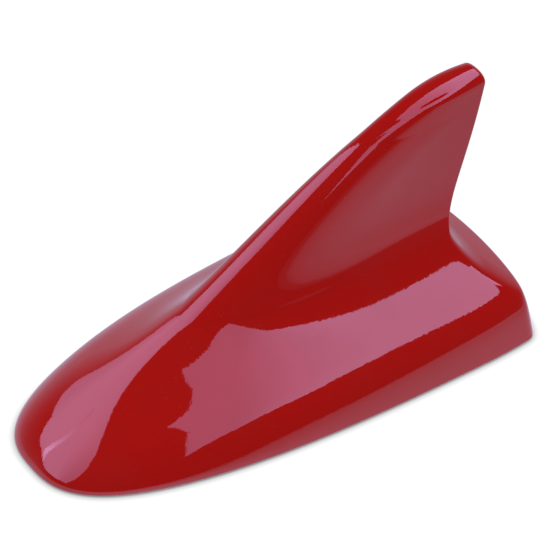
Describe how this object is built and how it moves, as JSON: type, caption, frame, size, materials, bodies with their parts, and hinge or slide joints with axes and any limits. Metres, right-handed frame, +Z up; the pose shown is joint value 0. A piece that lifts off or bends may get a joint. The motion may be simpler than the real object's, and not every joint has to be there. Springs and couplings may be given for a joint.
{
  "type": "shark fin aerial",
  "caption": "Painted shark fin aerial cover for a car roof, with ribs inside and foam tape under its rim.",
  "frame": {"origin": "centre of the bounding box's bottom face, on the roof", "axes": "+X towards the tail, +Z up, +Y towards the side on the right of someone who faces the nose's way"},
  "size_m": [0.1484, 0.0728, 0.072],
  "materials": {
    "red_paint": "red paint under a high-gloss clear coat, on a moulded plastic shell",
    "foam": "matt closed-cell foam",
    "liner": "thin red release film"
  },
  "bodies": {
    "root": {"fin_shell": "red_paint", "tape_nose": "foam", "tape_left": "foam", "tape_right": "foam", "tape_tail": "foam", "liner_nose": "liner", "liner_left": "liner", "liner_right": "liner", "liner_tail": "liner"}
  },
  "joints": []
}
